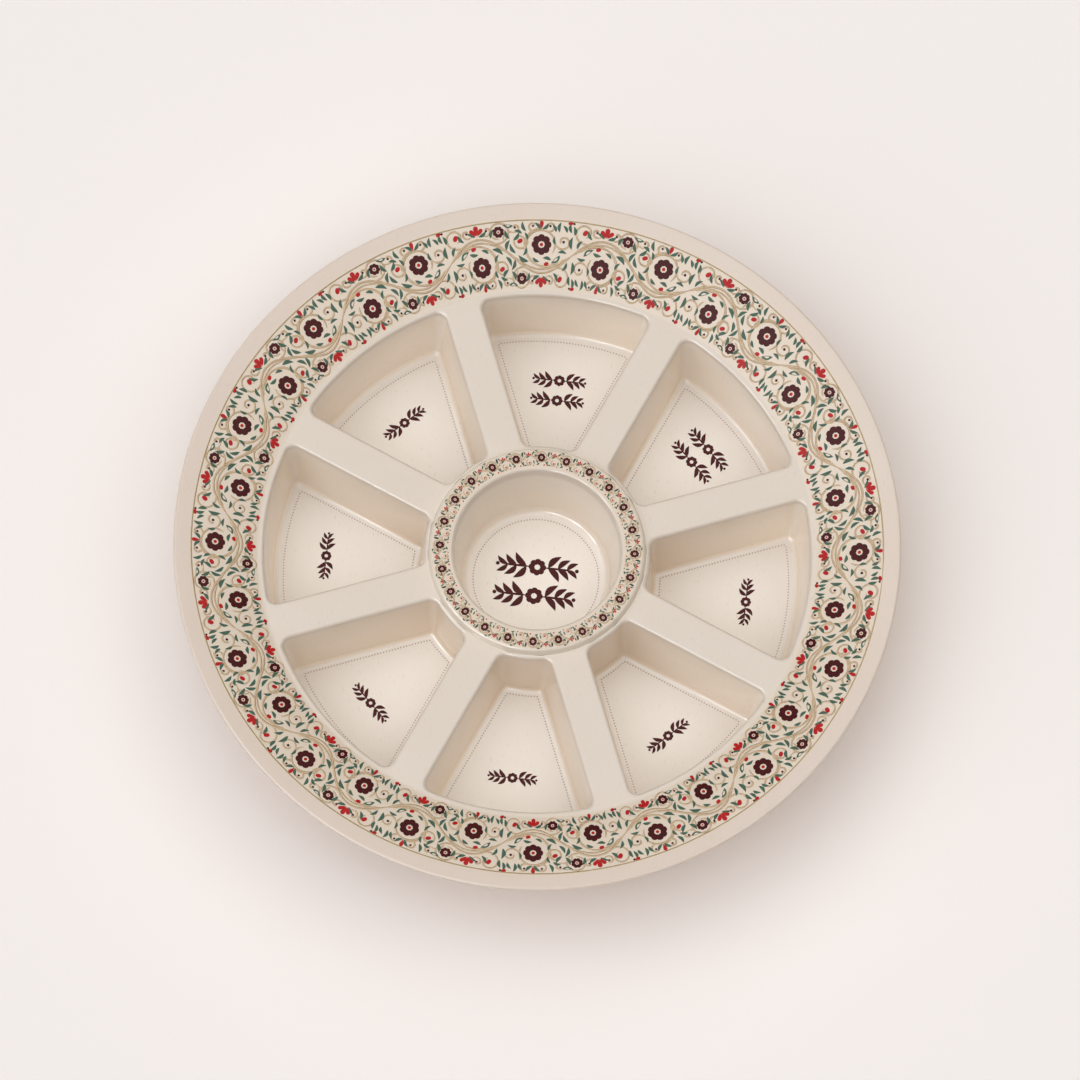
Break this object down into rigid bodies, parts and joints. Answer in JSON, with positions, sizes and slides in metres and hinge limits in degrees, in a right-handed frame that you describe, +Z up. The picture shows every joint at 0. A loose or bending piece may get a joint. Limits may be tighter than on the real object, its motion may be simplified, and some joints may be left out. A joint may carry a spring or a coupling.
{
  "type": "sectional serving plate",
  "caption": "Round moulded serving plate with drafted wedge wells round one raised-ring centre well, a wide sloping rim and printed foils, standing on foot arcs.",
  "frame": {"origin": "middle of the plate, on the surface that its feet stand on", "axes": "+Z up along the plate's axis, +Y from the axis to the middle of the first wedge well, +X to the right of it seen from above"},
  "size_m": [0.36, 0.36, 0.058],
  "materials": {
    "dish": "satin cream bamboo-fibre melamine moulding",
    "printed_foil": "cream overlay foil with fine printed ornament under clear melamine glaze"
  },
  "bodies": {
    "root": {"plate_body": "dish", "rim_band_foil": "printed_foil", "ring_foil": "printed_foil", "centre_well_foil": "printed_foil", "well_foil_1": "printed_foil", "well_foil_2": "printed_foil", "well_foil_3": "printed_foil", "well_foil_4": "printed_foil", "well_foil_5": "printed_foil", "well_foil_6": "printed_foil", "well_foil_7": "printed_foil", "well_foil_8": "printed_foil"}
  },
  "joints": []
}
